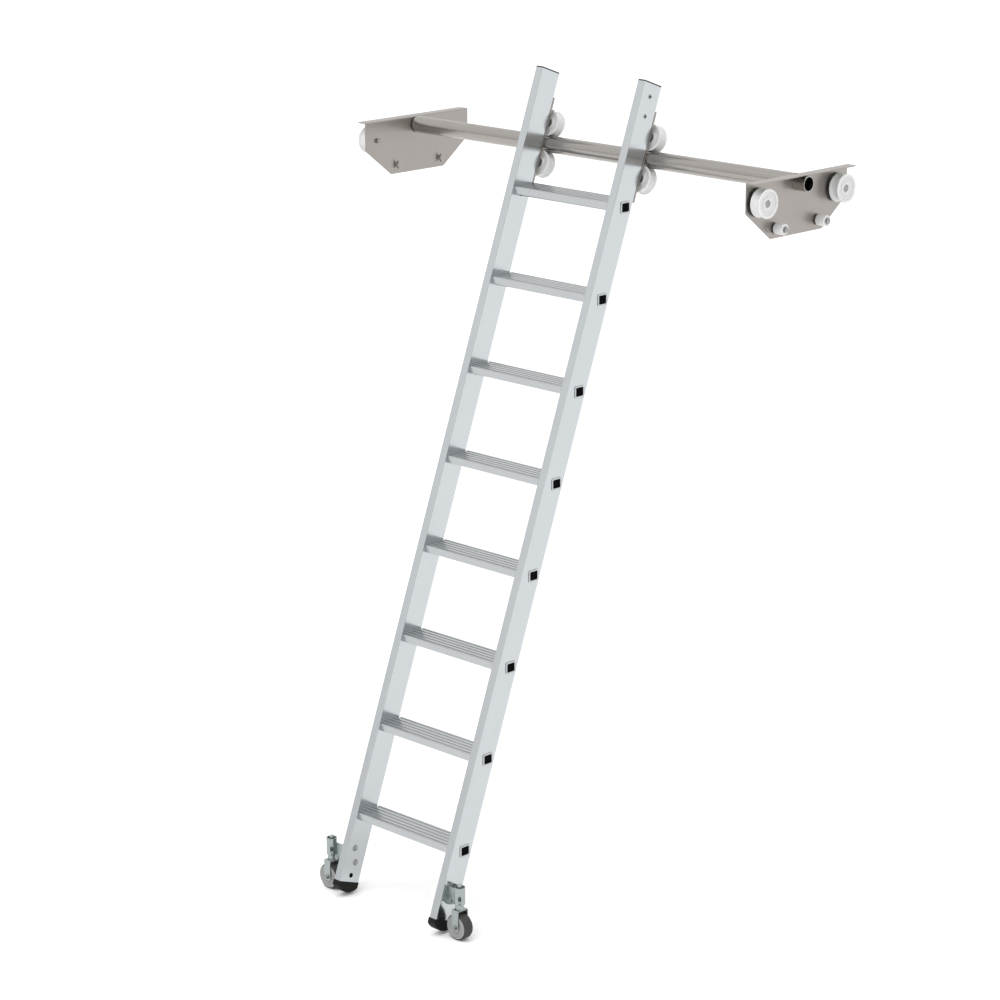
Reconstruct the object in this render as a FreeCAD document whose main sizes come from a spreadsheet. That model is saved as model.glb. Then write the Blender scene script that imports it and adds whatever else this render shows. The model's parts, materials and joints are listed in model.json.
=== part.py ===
import FreeCAD, Part
import math
import os
import re
import Sketcher

# A rolling ladder hung on a round cross tube. The tube's end plates run on a pair of
# parallel rails. Origin: on the tube's axis, midway between the end plates. X runs along
# the tube, +Y points away from the climber and +Z up. All sizes are in millimetres.
#
# Two sets of local axes are used. "Ladder axes" lean with the stiles: Y from the front of
# a stile to its back, Z up along it, origin on the tube's axis. "Level axes" are X, Y, Z.

DRIVING = {
    "lean_angle": 20.2,
    # stiles and the parts on them, in ladder axes
    "ladder_width": 421,
    "stile_width": 26.5,
    "stile_depth": 76,
    "stile_wall": 2,
    "stile_corner": 2.5,
    "stile_below": 2219,
    "stile_above": 201,
    "stile_gap": 31,
    "cap_thickness": 4,
    "cap_tongue": 15,
    "rivet_nut_depth": 70,
    "rivet_nut_first": 108,
    "rivet_nut_pitch": 57,
    "rivet_nut_flange": 7,
    "rivet_nut_hole": 3.4,
    "rivet_nut_body": 12,
    # steps
    "step_rise": 250,
    "first_step_below": 2016,
    "step_depth": 58.5,
    "tread_front": 40,
    "tread_rear": 45,
    "tread_top": 17,
    "tread_skin": 2.5,
    "front_lip": 22,
    "rear_lip": 13,
    "lip_wall": 2.5,
    "groove_width": 6.5,
    "groove_cut": 1.5,
    "groove_pitch": 16.5,
    "groove_first": -36.25,
    "box_width": 34,
    "box_height": 30,
    "box_wall": 2.5,
    "void_corner": 3,
    "rim_edge": 2.6,
    "rim_corner": 6.5,
    "rim_proud": 1.8,
    "plug_length": 10,
    "plug_gap": 0.1,
    "plug_recess": 0.5,
    # feet
    "foot_width": 30,
    "foot_length": 80,
    "foot_straight": 12,
    "foot_drop": 31.5,
    "foot_corner": 4,
    "foot_tongue": 30,
    "foot_pin_radius": 5.5,
    "foot_pin_rise": 20,
    "foot_pin_head": 7.2,
    # roller plates and ladder rollers
    "roller_plate_length": 264,
    "roller_plate_thick": 6,
    "plate_screw_rise": 118,
    "roller_radius": 40,
    "roller_width": 32,
    "roller_rise": 59.5,
    "tube_groove": 25.3,
    "dish_radius": 33,
    "dish_depth": 3,
    "hub_radius": 16,
    "socket_radius": 11,
    "socket_depth": 8,
    "bore_radius": 4.07,
    "bolt_radius": 4,
    "bolt_hex": 13,
    "bolt_head": 5.3,
    "spacer_radius": 12.5,
    "axle_nut_length": 12,
    "axle_nut_radius": 7.5,
    # cross tube
    "tube_radius": 25,
    "tube_wall": 3,
    "tube_half": 733,
    "stub_radius": 21.5,
    "stub_wall": 2.5,
    "stub_inner_end": 640,
    "stub_outer_end": 779,
    # end plates, level axes
    "end_inner": 737,
    "end_thick": 3,
    "end_half_length": 215,
    "end_top": 25,
    "end_bottom": -141,
    "end_edge": -60,
    "end_bottom_half": 110,
    "end_flange": 32,
    "end_corner": 10,
    "stub_clearance": 0.08,
    "rail_roller_y": 167,
    "rail_roller_z": -33,
    "rail_roller_gap": 7,
    "rail_groove": 15.5,
    "rail_groove_bottom": 34,
    "rail_nut": 6.5,
    "bolt_end": 3,
    "guide_roller_y": 90,
    "guide_roller_z": -113,
    "guide_roller_radius": 15.5,
    "guide_roller_length": 30,
    "guide_roller_gap": 4,
    "guide_bolt_radius": 4,
    "guide_bore_radius": 4.07,
    "guide_hex": 14,
    "guide_head": 5.5,
    "wing_hub_radius": 7,
    "wing_hub_length": 8,
    "wing_span": 25,
    "wing_reach": 12,
    "wing_thick": 2.5,
    # sprung castors, level axes
    "castor_x": 264,
    "castor_y": -825,
    "floor_z": -2099.5,
    "wheel_radius": 38,
    "wheel_width": 33.5,
    "tyre_inner": 29,
    "crown_rise": 89.5,
    "fork_width": 26,
    "fork_length": 40,
    "fork_sheet": 2.5,
    "fork_below": 11,
    "fork_bend": 4,
    "castor_bolt_radius": 4,
    "castor_bore_radius": 4.07,
    "castor_hex": 13,
    "castor_head": 5,
    "castor_nut": 6.5,
    "stem_radius": 12,
    "stem_bore": 12.08,
    "housing_low": 103.5,
    "housing_high": 156,
    "housing_radius": 15.5,
    "housing_wall": 2.4,
    "housing_floor": 5,
    "housing_cap_low": 146.5,
    "housing_cap_high": 150.5,
    "slot_low": 114,
    "slot_high": 132.5,
    "slot_width": 8,
    "pin_radius": 2,
    "pin_rise": 116.1,
    "drain_rise": 109.5,
    "drain_radius": 2.8,
    "rod_radius": 4,
    "rod_bore": 4.1,
    "dome_radius": 7,
    "spring_radius": 9.7,
    "spring_wire": 1.1,
    "spring_low": 118.9,
    # castor brackets
    "bracket_front": 3,
    "bracket_rear": 29,
    "bracket_low": 87,
    "bracket_high": 143.5,
    "bracket_sheet": 3,
    "front_leg_low": 97,
    "rear_leg_reach": 22,
    "bracket_bolt_y": 19,
    "bracket_bolt_low": 94.5,
    "bracket_bolt_high": 139,
    "bracket_bolt_radius": 3,
    "bolt_cup_radius": 9.8,
    "bolt_cup_dish": 3.5,
    "leg_hole_x": 228,
    "leg_hole_rise": 101.5,
    "leg_hole_radius": 5.5,
    "web_front": -3,
    "flange_low": 104,
    "bracket_hex": 10,
    "bracket_nut": 5,
}

STEP_COUNT = 8
GROOVE_COUNT = 5
SIDES = {"left": -1, "right": 1}
ENDS = {"front": -1, "rear": 1}
HOLE_SLACK = 0.1

doc = FreeCAD.newDocument("RailLadder")
sheet = doc.addObject("Spreadsheet::Sheet", "Sizes")
for row, (alias, number) in enumerate(DRIVING.items(), start=1):
    sheet.set(f"A{row}", alias)
    sheet.set(f"B{row}", str(number))
    sheet.setAlias(f"B{row}", alias)
doc.recompute()

finished = {}


# ---------------------------------------------------------------- helpers

def sized(text):
    """An expression in which each driving dimension is read from the sheet."""
    def cell(match):
        word = match.group(0)
        return "Sizes." + word if word in DRIVING else word
    return re.sub(r"[a-z][a-z0-9_]*", cell, str(text))


def number(text):
    """What an expression comes to with the sheet's present values."""
    result = sheet.evalExpression(sized(text))
    return float(getattr(result, "Value", result))


def keep(label, thing):
    """Marks an object of the document as a finished sub-part."""
    thing.Label = label
    finished[label] = thing
    return thing


def place(thing, x="0", y="0", z="0", rotation=None):
    """Puts a sub-part at a point given by expressions, in level axes."""
    base = FreeCAD.Vector(number(x), number(y), number(z))
    thing.Placement = FreeCAD.Placement(base, rotation or FreeCAD.Rotation())
    for axis, text in (("x", x), ("y", y), ("z", z)):
        thing.setExpression(f".Placement.Base.{axis}", sized(text))
    return thing


def lean(thing, x="0", y="0", z="0", turn=None):
    """Puts a sub-part at a point of the ladder axes, leaning as the stiles do."""
    rotation = FreeCAD.Rotation(FreeCAD.Vector(1, 0, 0), -number("lean_angle"))
    if turn:
        rotation = rotation.multiply(turn)
    level_y = f"({y}) * cos(lean_angle) + ({z}) * sin(lean_angle)"
    level_z = f"({z}) * cos(lean_angle) - ({y}) * sin(lean_angle)"
    return place(thing, x, level_y, level_z, rotation)


def new_body(label):
    body = doc.addObject("PartDesign::Body", label)
    return keep(label, body)


def origin_feature(body, role):
    for feature in body.Origin.OriginFeatures:
        if feature.Role == role:
            return feature
    raise ValueError(role)


def new_sketch(body, plane, offset="0"):
    """A sketch on one of the body's own planes, moved along the plane's normal."""
    sketch = body.newObject("Sketcher::SketchObject", body.Name + "_sketch")
    sketch.AttachmentSupport = [(origin_feature(body, plane), "")]
    sketch.MapMode = "FlatFace"
    sketch.AttachmentOffset = FreeCAD.Placement(
        FreeCAD.Vector(0, 0, number(offset)), FreeCAD.Rotation())
    sketch.setExpression(".AttachmentOffset.Base.z", sized(offset))
    return sketch


def pin_point(sketch, geometry, end, x, y):
    """Ties one point of a sketch to coordinates given by expressions."""
    for kind, text, axis in (("DistanceX", x, -2), ("DistanceY", y, -1)):
        size = number(text)
        if abs(size) < 1e-9:
            sketch.addConstraint(Sketcher.Constraint("PointOnObject", geometry, end, axis))
            continue
        index = sketch.addConstraint(Sketcher.Constraint(kind, geometry, end, size))
        sketch.setExpression(f"Constraints[{index}]", sized(text))


def draw_outline(sketch, corners):
    """A closed outline of straight edges through corners given by expressions."""
    points = [FreeCAD.Vector(number(x), number(y), 0) for x, y in corners]
    first = sketch.GeometryCount
    count = len(points)
    for i in range(count):
        sketch.addGeometry(Part.LineSegment(points[i], points[(i + 1) % count]))
    for i, (x, y) in enumerate(corners):
        here = first + i
        there = first + (i + 1) % count
        sketch.addConstraint(Sketcher.Constraint("Coincident", here, 2, there, 1))
        pin_point(sketch, here, 1, x, y)


def draw_box(sketch, low_x, high_x, low_y, high_y):
    draw_outline(sketch, [(low_x, low_y), (high_x, low_y), (high_x, high_y), (low_x, high_y)])


def draw_circle(sketch, x, y, radius):
    centre = FreeCAD.Vector(number(x), number(y), 0)
    circle = Part.Circle(centre, FreeCAD.Vector(0, 0, 1), number(radius))
    index = sketch.addGeometry(circle)
    pin_point(sketch, index, 3, x, y)
    size = sketch.addConstraint(Sketcher.Constraint("Radius", index, number(radius)))
    sketch.setExpression(f"Constraints[{size}]", sized(radius))


def draw_hexagon(sketch, x, y, across):
    """A hexagon with two flats square to the sketch's x axis."""
    corners = []
    for i in range(6):
        angle = 60 * i + 30
        corners.append((f"({x}) + ({across}) / sqrt(3) * cos({angle})",
                        f"({y}) + ({across}) / sqrt(3) * sin({angle})"))
    draw_outline(sketch, corners)


def finish_feature(feature):
    doc.recompute()
    return feature


def extrude(body, sketch, length, middle=False, back=False):
    pad = body.newObject("PartDesign::Pad", body.Name + "_pad")
    pad.Profile = sketch
    pad.Midplane = middle
    pad.Reversed = back
    pad.setExpression("Length", sized(length))
    return finish_feature(pad)


def cut(body, sketch, length, middle=False, back=False):
    """A pocket. Without back it goes against the sketch's normal."""
    before = body.Shape.Volume
    pocket = body.newObject("PartDesign::Pocket", body.Name + "_pocket")
    pocket.Profile = sketch
    pocket.Midplane = middle
    pocket.Reversed = back
    pocket.setExpression("Length", sized(length))
    doc.recompute()
    if body.Shape.Volume > before - 1e-6:
        raise ValueError("a pocket of " + body.Label + " cuts nothing")
    return pocket


def spin(body, sketch, kind="PartDesign::Revolution"):
    """Turns a sketch once round its own vertical axis."""
    turned = body.newObject(kind, body.Name + "_turned")
    turned.Profile = sketch
    turned.ReferenceAxis = (sketch, ["V_Axis"])
    turned.Angle = 360
    return finish_feature(turned)


def turn_groove(body, centre, radius):
    """A round groove about the body's Z axis."""
    before = body.Shape.Volume
    sketch = new_sketch(body, "XZ_Plane")
    draw_circle(sketch, centre, "0", radius)
    spin(body, sketch, "PartDesign::Groove")
    if body.Shape.Volume > before - 1e-6:
        raise ValueError("the groove of " + body.Label + " cuts nothing")


def pattern(body, feature, role, length, count):
    """Repeats a feature in a line along one of the body's axes."""
    copies = body.newObject("PartDesign::LinearPattern", body.Name + "_pattern")
    copies.Originals = [feature]
    copies.Direction = (origin_feature(body, role), [""])
    copies.setExpression("Length", sized(length))
    copies.Occurrences = count
    body.Tip = copies
    return finish_feature(copies)


def round_edges(body, radius, chosen):
    """Rounds the body's edges for which chosen(start, end) is true."""
    base = body.Tip
    names = []
    for index, edge in enumerate(base.Shape.Edges, start=1):
        if len(edge.Vertexes) == 2 and isinstance(edge.Curve, Part.Line):
            if chosen(edge.Vertexes[0].Point, edge.Vertexes[1].Point):
                names.append(f"Edge{index}")
    if not names:
        raise ValueError("no edge to round on " + body.Label)
    fillet = body.newObject("PartDesign::Fillet", body.Name + "_fillet")
    fillet.Base = (base, names)
    fillet.setExpression("Radius", sized(radius))
    return finish_feature(fillet)


def runs_along(axis):
    """Chooses the straight edges parallel to x, y or z."""
    others = [a for a in "xyz" if a != axis]

    def test(start, end):
        return all(abs(getattr(start, a) - getattr(end, a)) < 1e-6 for a in others)
    return test


def turned_piece(label, corners):
    """A body turned about its own Z axis from a half outline of (radius, height) corners."""
    body = new_body(label)
    sketch = new_sketch(body, "XZ_Plane")
    draw_outline(sketch, corners)
    spin(body, sketch)
    return body


def group(label, pieces):
    """Several like pieces that share one node, as separate solids."""
    compound = doc.addObject("Part::Compound", label)
    compound.Links = pieces
    for piece in pieces:
        finished.pop(piece.Label, None)
    return keep(label, compound)


Z_TO_X = FreeCAD.Rotation(FreeCAD.Vector(0, 1, 0), 90)
Z_TO_MINUS_X = FreeCAD.Rotation(FreeCAD.Vector(0, 1, 0), -90)
Z_TO_Y = FreeCAD.Rotation(FreeCAD.Vector(1, 0, 0), -90)
Z_TO_OUTSIDE = {"left": Z_TO_MINUS_X, "right": Z_TO_X}

STILE_REAR = "-stile_gap"
STILE_FRONT = "-(stile_gap + stile_depth)"
STILE_MIDDLE = "-(stile_gap + stile_depth / 2)"
STILE_X = "(ladder_width - stile_width) / 2"
BRACKET_BOLT_RISES = ("bracket_bolt_low", "bracket_bolt_high")


# ---------------------------------------------------------------- stiles

def draw_level_box(sketch, y, z, width, height):
    """A box that lies level, drawn in the ladder axes."""
    corners = []
    for side_y, side_z in ((-1, -1), (1, -1), (1, 1), (-1, 1)):
        level_y = f"{side_y} * ({width}) / 2"
        level_z = f"{side_z} * ({height}) / 2"
        corners.append((
            f"({y}) + {level_y} * cos(lean_angle) - {level_z} * sin(lean_angle)",
            f"({z}) + {level_y} * sin(lean_angle) + {level_z} * cos(lean_angle)"))
    draw_outline(sketch, corners)


def to_ladder_axes(y, z):
    """A level point given in the ladder axes."""
    return (f"({y}) * cos(lean_angle) - ({z}) * sin(lean_angle)",
            f"({y}) * sin(lean_angle) + ({z}) * cos(lean_angle)")


def bracket_bolt_points():
    return [to_ladder_axes("castor_y + bracket_bolt_y", f"floor_z + {rise}")
            for rise in BRACKET_BOLT_RISES]


def make_stile(side):
    """A rectangular tube with every hole that the fittings need."""
    outward = SIDES[side] > 0
    body = new_body("stile_" + side)
    section = new_sketch(body, "XY_Plane", "-stile_below")
    draw_box(section, "-stile_width / 2", "stile_width / 2", STILE_FRONT, STILE_REAR)
    extrude(body, section, "stile_below + stile_above")
    round_edges(body, "stile_corner", runs_along("z"))
    hollow = new_sketch(body, "XY_Plane", "stile_above")
    draw_box(hollow, "stile_wall - stile_width / 2", "stile_width / 2 - stile_wall",
             STILE_FRONT + " + stile_wall", STILE_REAR + " - stile_wall")
    cut(body, hollow, "stile_below + stile_above")

    step_hole = new_sketch(body, "YZ_Plane")
    draw_level_box(step_hole, "-step_depth", "-first_step_below",
                   f"box_width + {HOLE_SLACK}", f"box_height + {HOLE_SLACK}")
    first_hole = cut(body, step_hole, "2 * stile_width", middle=True)
    pattern(body, first_hole, "Z_Axis", f"step_rise / cos(lean_angle) * {STEP_COUNT - 1}", STEP_COUNT)

    outer_holes = new_sketch(body, "YZ_Plane")
    for y, z in bracket_bolt_points():
        draw_circle(outer_holes, y, z, f"bracket_bolt_radius + {HOLE_SLACK}")
    for i in range(2):
        draw_circle(outer_holes, "-rivet_nut_depth", f"rivet_nut_first + {i} * rivet_nut_pitch",
                    f"rivet_nut_flange - 1 + {HOLE_SLACK}")
    cut(body, outer_holes, "stile_width", back=outward)

    inner_holes = new_sketch(body, "YZ_Plane")
    for y, z in bracket_bolt_points():
        draw_circle(inner_holes, y, z, f"bolt_cup_radius - 1 + {HOLE_SLACK}")
    draw_circle(inner_holes, STILE_MIDDLE, "foot_pin_rise - stile_below",
                f"foot_pin_radius + {HOLE_SLACK}")
    cut(body, inner_holes, "stile_width", back=not outward)

    rear_holes = new_sketch(body, "XZ_Plane")
    for sign in (-1, 1):
        draw_circle(rear_holes, "0", f"{sign} * roller_rise", f"axle_nut_radius - 1 + {HOLE_SLACK}")
        draw_circle(rear_holes, "0", f"{sign} * plate_screw_rise", f"3 + {HOLE_SLACK}")
    cut(body, rear_holes, "stile_gap + stile_wall + 1", back=True)
    lean(body, f"{SIDES[side]} * {STILE_X}")


# ---------------------------------------------------------------- steps

def make_step(number_from_floor):
    """One level extruded step. Its box runs through both stiles and is flared outside."""
    body = new_body(f"step_{number_from_floor}")
    profile = new_sketch(body, "YZ_Plane")
    front = "-tread_front"
    rear = "tread_rear"
    under = "tread_top - groove_cut - tread_skin"
    draw_outline(profile, [
        (front, "tread_top - front_lip"),
        (front, "tread_top"),
        (rear, "tread_top"),
        (rear, "tread_top - rear_lip"),
        (rear + " - lip_wall", "tread_top - rear_lip"),
        (rear + " - lip_wall", under),
        ("box_width / 2", under),
        ("box_width / 2", "-box_height / 2"),
        ("-box_width / 2", "-box_height / 2"),
        ("-box_width / 2", under),
        (front + " + lip_wall", under),
        (front + " + lip_wall", "tread_top - front_lip")])
    extrude(body, profile, f"ladder_width - 2 * stile_width - 2 * {HOLE_SLACK}", middle=True)
    edges_y = (number(front), number(rear))
    top = number("tread_top")

    def outer_top(start, end):
        at_edge = min(abs(start.y - y) for y in edges_y) < 1e-6 and abs(start.z - top) < 1e-6
        return at_edge and runs_along("x")(start, end)
    round_edges(body, "1.2 * lip_wall", outer_top)

    grooves = new_sketch(body, "YZ_Plane")
    for i in range(GROOVE_COUNT):
        start = f"groove_first + {i} * groove_pitch"
        draw_box(grooves, start, start + " + groove_width", "tread_top - groove_cut", "tread_top + 1")
    cut(body, grooves, "ladder_width", middle=True)

    box = new_sketch(body, "YZ_Plane")
    draw_box(box, "-box_width / 2", "box_width / 2", "-box_height / 2", "box_height / 2")
    extrude(body, box, f"ladder_width + 2 * {HOLE_SLACK}", middle=True)
    for sign, back in ((1, False), (-1, True)):
        rim = new_sketch(body, "YZ_Plane", f"{sign} * (ladder_width / 2 + {HOLE_SLACK})")
        draw_box(rim, "-box_width / 2 - rim_edge", "box_width / 2 + rim_edge",
                 "-box_height / 2 - rim_edge", "box_height / 2 + rim_edge")
        extrude(body, rim, "rim_proud", back=back)
    half_width = number("ladder_width") / 2

    def rim_corner(start, end):
        outside = min(abs(start.x), abs(end.x)) > half_width
        return outside and runs_along("x")(start, end)
    round_edges(body, "rim_corner", rim_corner)

    void = new_sketch(body, "YZ_Plane")
    draw_box(void, "box_wall - box_width / 2", "box_width / 2 - box_wall",
             "box_wall - box_height / 2", "box_height / 2 - box_wall")
    cut(body, void, "2 * ladder_width", middle=True)

    def void_corner(start, end):
        return abs(start.x - end.x) > 2 * half_width and runs_along("x")(start, end)
    round_edges(body, "void_corner", void_corner)
    along = f"{number_from_floor - 1} * step_rise / cos(lean_angle) - first_step_below"
    level_y = f"-step_depth * cos(lean_angle) + ({along}) * sin(lean_angle)"
    level_z = f"step_depth * sin(lean_angle) + ({along}) * cos(lean_angle)"
    place(body, "0", level_y, level_z)
    return level_y, level_z


def make_rung_plugs(places):
    """Square plugs that close both flared ends of every step."""
    plugs = []
    for index, (level_y, level_z) in enumerate(places, start=1):
        for side, sign in SIDES.items():
            body = new_body(f"rung_plug_{index}_{side}")
            sketch = new_sketch(body, "YZ_Plane")
            half_y = "(box_width / 2 - box_wall - plug_gap)"
            half_z = "(box_height / 2 - box_wall - plug_gap)"
            draw_box(sketch, "-" + half_y, half_y, "-" + half_z, half_z)
            extrude(body, sketch, "plug_length", back=sign > 0)
            round_edges(body, "void_corner", runs_along("x"))
            place(body, f"{sign} * (ladder_width / 2 + rim_proud - plug_recess)", level_y, level_z)
            plugs.append(body)
    group("rung_plugs", plugs)


# ---------------------------------------------------------------- stile fittings

def draw_tongue(sketch):
    """The section of a plug that fits inside a stile."""
    slack = f"stile_wall + {HOLE_SLACK}"
    draw_box(sketch, f"{slack} - stile_width / 2", f"stile_width / 2 - ({slack})",
             f"{STILE_FRONT} + {slack}", f"{STILE_REAR} - ({slack})")


def make_end_caps():
    """Flat plastic caps with a shallow socket plug, on the top of each stile."""
    caps = []
    for side, sign in SIDES.items():
        body = new_body("end_cap_" + side)
        top = new_sketch(body, "XY_Plane", "stile_above")
        draw_box(top, "-stile_width / 2", "stile_width / 2", STILE_FRONT, STILE_REAR)
        extrude(body, top, "cap_thickness")
        round_edges(body, "stile_corner", runs_along("z"))
        tongue = new_sketch(body, "XY_Plane", "stile_above")
        draw_tongue(tongue)
        extrude(body, tongue, "cap_tongue", back=True)
        lean(body, f"{sign} * {STILE_X}")
        caps.append(body)
    group("stile_end_caps", caps)


def make_foot(side):
    """A rubber shoe under the stile, round below, with a tongue inside the tube."""
    sign = SIDES[side]
    body = new_body("foot_" + side)
    profile = new_sketch(body, "YZ_Plane")
    middle_y = -number("stile_gap") - number("stile_depth") / 2
    half = number("foot_length") / 2
    top = -number("stile_below")
    low = top - number("foot_straight")
    bottom = top - number("foot_drop")
    corners = [FreeCAD.Vector(middle_y + half, low, 0), FreeCAD.Vector(middle_y + half, top, 0),
               FreeCAD.Vector(middle_y - half, top, 0), FreeCAD.Vector(middle_y - half, low, 0)]
    for i in range(3):
        profile.addGeometry(Part.LineSegment(corners[i], corners[i + 1]))
    arc = Part.Arc(corners[3], FreeCAD.Vector(middle_y, bottom, 0), corners[0])
    profile.addGeometry(arc)
    for i in range(4):
        profile.addConstraint(Sketcher.Constraint("Coincident", i, 2, (i + 1) % 4, 1))
    half_text = "foot_length / 2"
    low_text = "-stile_below - foot_straight"
    pin_point(profile, 0, 1, f"{STILE_MIDDLE} + {half_text}", low_text)
    pin_point(profile, 1, 1, f"{STILE_MIDDLE} + {half_text}", "-stile_below")
    pin_point(profile, 2, 1, f"{STILE_MIDDLE} - {half_text}", "-stile_below")
    pin_point(profile, 3, 1, f"{STILE_MIDDLE} - {half_text}", low_text)
    sag = "(foot_drop - foot_straight)"
    radius = f"(({half_text})^2 + {sag}^2) / (2 * {sag})"
    size = profile.addConstraint(Sketcher.Constraint("Radius", 3, number(radius)))
    profile.setExpression(f"Constraints[{size}]", sized(radius))
    extrude(body, profile, "foot_width", middle=True)

    def below_top(start, end):
        return runs_along("z")(start, end) and min(start.z, end.z) < top - 1
    round_edges(body, "foot_corner", below_top)
    tongue = new_sketch(body, "XY_Plane", "-stile_below")
    draw_tongue(tongue)
    extrude(body, tongue, "foot_tongue")
    pin_hole = new_sketch(body, "YZ_Plane")
    draw_circle(pin_hole, STILE_MIDDLE, "foot_pin_rise - stile_below",
                f"foot_pin_radius + {HOLE_SLACK}")
    cut(body, pin_hole, "stile_width", back=sign < 0)
    lean(body, f"{sign} * {STILE_X}")


def make_foot_pins():
    """A domed pin through the inner wall of each stile, which holds the shoe's tongue."""
    pins = []
    for side, sign in SIDES.items():
        wall = "-stile_width / 2"
        body = turned_piece("foot_pin_" + side, [
            ("0", f"{wall} - 1.6"), ("foot_pin_head / 2", f"{wall} - 1.3"),
            ("foot_pin_head", f"{wall} - 0.3"), ("foot_pin_head", f"{wall} - 0.05"),
            ("foot_pin_radius", f"{wall} - 0.05"), ("foot_pin_radius", "-1"), ("0", "-1")])
        turn = Z_TO_OUTSIDE[side]
        lean(body, f"{sign} * {STILE_X}", STILE_MIDDLE, "foot_pin_rise - stile_below", turn)
        pins.append(body)
    group("foot_pins", pins)


def make_rivet_nuts():
    """Flanged threaded inserts in the outer walls, two near the top of each stile."""
    nuts = []
    for side, sign in SIDES.items():
        for i in range(2):
            body = turned_piece(f"rivet_nut_{side}_{i}", [
                ("rivet_nut_hole", "-rivet_nut_body"), ("rivet_nut_flange - 1", "-rivet_nut_body"),
                ("rivet_nut_flange - 1", "0.05"), ("rivet_nut_flange", "0.05"),
                ("rivet_nut_flange - 0.6", "1"), ("rivet_nut_hole", "1")])
            rise = f"rivet_nut_first + {i} * rivet_nut_pitch"
            lean(body, f"{sign} * ladder_width / 2", "-rivet_nut_depth", rise, Z_TO_OUTSIDE[side])
            nuts.append(body)
    group("rivet_nuts", nuts)


# ---------------------------------------------------------------- rollers on the ladder

def make_roller(label, groove_centre, groove_radius):
    """A grooved plastic roller on the Z axis, dished on both faces, with a bore."""
    body = turned_piece(label, [
        ("bore_radius", "-roller_width / 2 + dish_depth"),
        ("hub_radius", "-roller_width / 2 + dish_depth"),
        ("hub_radius + 3", "-roller_width / 2 + 2 * dish_depth"),
        ("dish_radius - 2", "-roller_width / 2 + 2 * dish_depth"),
        ("dish_radius", "-roller_width / 2"),
        ("roller_radius - 1", "-roller_width / 2"),
        ("roller_radius", "-roller_width / 2 + 1"),
        ("roller_radius", "roller_width / 2 - 1"),
        ("roller_radius - 1", "roller_width / 2"),
        ("dish_radius", "roller_width / 2"),
        ("dish_radius - 2", "roller_width / 2 - 2 * dish_depth"),
        ("hub_radius + 3", "roller_width / 2 - 2 * dish_depth"),
        ("hub_radius", "roller_width / 2 - dish_depth"),
        ("socket_radius", "roller_width / 2 - dish_depth"),
        ("socket_radius", "roller_width / 2 - dish_depth - socket_depth"),
        ("bore_radius", "roller_width / 2 - dish_depth - socket_depth")])
    turn_groove(body, groove_centre, groove_radius)
    return body


def make_hex_bolt(label, head, across, shank_radius, shank_length):
    """A bolt on the Z axis: its head stands on Z 0 and its shank runs down from there."""
    body = new_body(label)
    top = new_sketch(body, "XY_Plane")
    draw_hexagon(top, "0", "0", across)
    extrude(body, top, head)
    shank = new_sketch(body, "XY_Plane")
    draw_circle(shank, "0", "0", shank_radius)
    extrude(body, shank, shank_length, back=True)
    return body


def make_hex_nut(label, thickness, across, bore):
    """A nut on the Z axis, from Z 0 up."""
    body = new_body(label)
    outline = new_sketch(body, "XY_Plane")
    draw_hexagon(outline, "0", "0", across)
    draw_circle(outline, "0", "0", bore)
    extrude(body, outline, thickness)
    return body


HUB_SEAT = "(roller_width / 2 - dish_depth - socket_depth)"
HUB_FACE = "(roller_width / 2 - dish_depth)"
PLATE_REAR = "(-stile_gap + roller_plate_thick)"


def make_roller_plate(side):
    """A flat steel bar on the back of a stile, drilled for two axles and two screws."""
    body = new_body("roller_plate_" + side)
    bar = new_sketch(body, "XZ_Plane", "stile_gap")
    half = "roller_plate_length / 2"
    draw_box(bar, "-stile_width / 2", "stile_width / 2", "-" + half, half)
    extrude(body, bar, "roller_plate_thick", back=True)
    round_edges(body, "3", runs_along("y"))
    holes = new_sketch(body, "XZ_Plane", "stile_gap + 1")
    for sign in (-1, 1):
        draw_circle(holes, "0", f"{sign} * roller_rise", f"bolt_radius + {HOLE_SLACK}")
        draw_circle(holes, "0", f"{sign} * plate_screw_rise", f"3 + {HOLE_SLACK}")
    cut(body, holes, "roller_plate_thick + 2")
    lean(body, f"{SIDES[side]} * {STILE_X}")


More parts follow.
